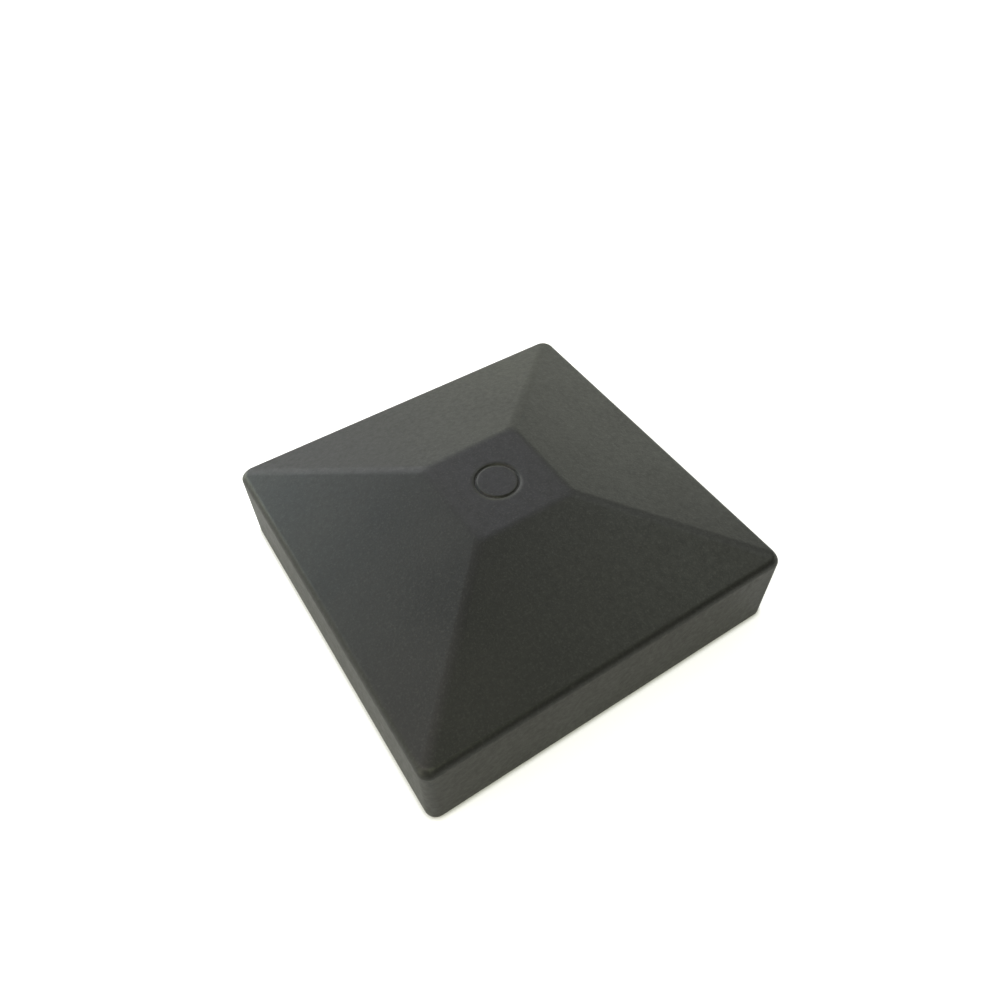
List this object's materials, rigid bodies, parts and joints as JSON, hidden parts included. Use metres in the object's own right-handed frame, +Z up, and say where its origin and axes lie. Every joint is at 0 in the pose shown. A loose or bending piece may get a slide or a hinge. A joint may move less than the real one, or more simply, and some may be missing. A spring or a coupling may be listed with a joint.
{
  "type": "fence post cap",
  "caption": "Square pyramid cap for a fence post: a cast shell with a small flat top that pulls off a concealed, sprung fixing plate screwed to the post's end.",
  "frame": {"origin": "middle of the square formed by the skirt's bottom edge, on the plane the cap rests on", "axes": "+Z up along the post, through the middle of the flat top; +X and +Y square to the sides; the front is -Y"},
  "size_m": [0.098, 0.098, 0.0346],
  "materials": {
    "black_powder_coat": "satin black powder coat, very fine grain",
    "zinc_plated_steel": "zinc plated, dull",
    "foam_rubber": "closed-cell foam, matte",
    "rivet_aluminium": "bright",
    "spring_steel": "stainless, cold rolled",
    "pad_rubber": "matte"
  },
  "bodies": {
    "fixing_base": {"fixing_plate": "zinc_plated_steel", "post_gasket": "foam_rubber", "clip_rivets": "rivet_aluminium", "spring_clip_left": "spring_steel", "spring_clip_right": "spring_steel", "spring_clip_front": "spring_steel", "spring_clip_back": "spring_steel"},
    "cap": {"cap_shell": "black_powder_coat", "grip_pad_left_front": "pad_rubber", "grip_pad_left_back": "pad_rubber", "grip_pad_right_front": "pad_rubber", "grip_pad_right_back": "pad_rubber", "grip_pad_front_left": "pad_rubber", "grip_pad_front_right": "pad_rubber", "grip_pad_back_left": "pad_rubber", "grip_pad_back_right": "pad_rubber"}
  },
  "joints": [
    {"name": "cap_pull_off", "type": "slide", "parent": "fixing_base", "child": "cap", "axis": [0, 0, 1], "range_m": [0, 0.04]}
  ]
}
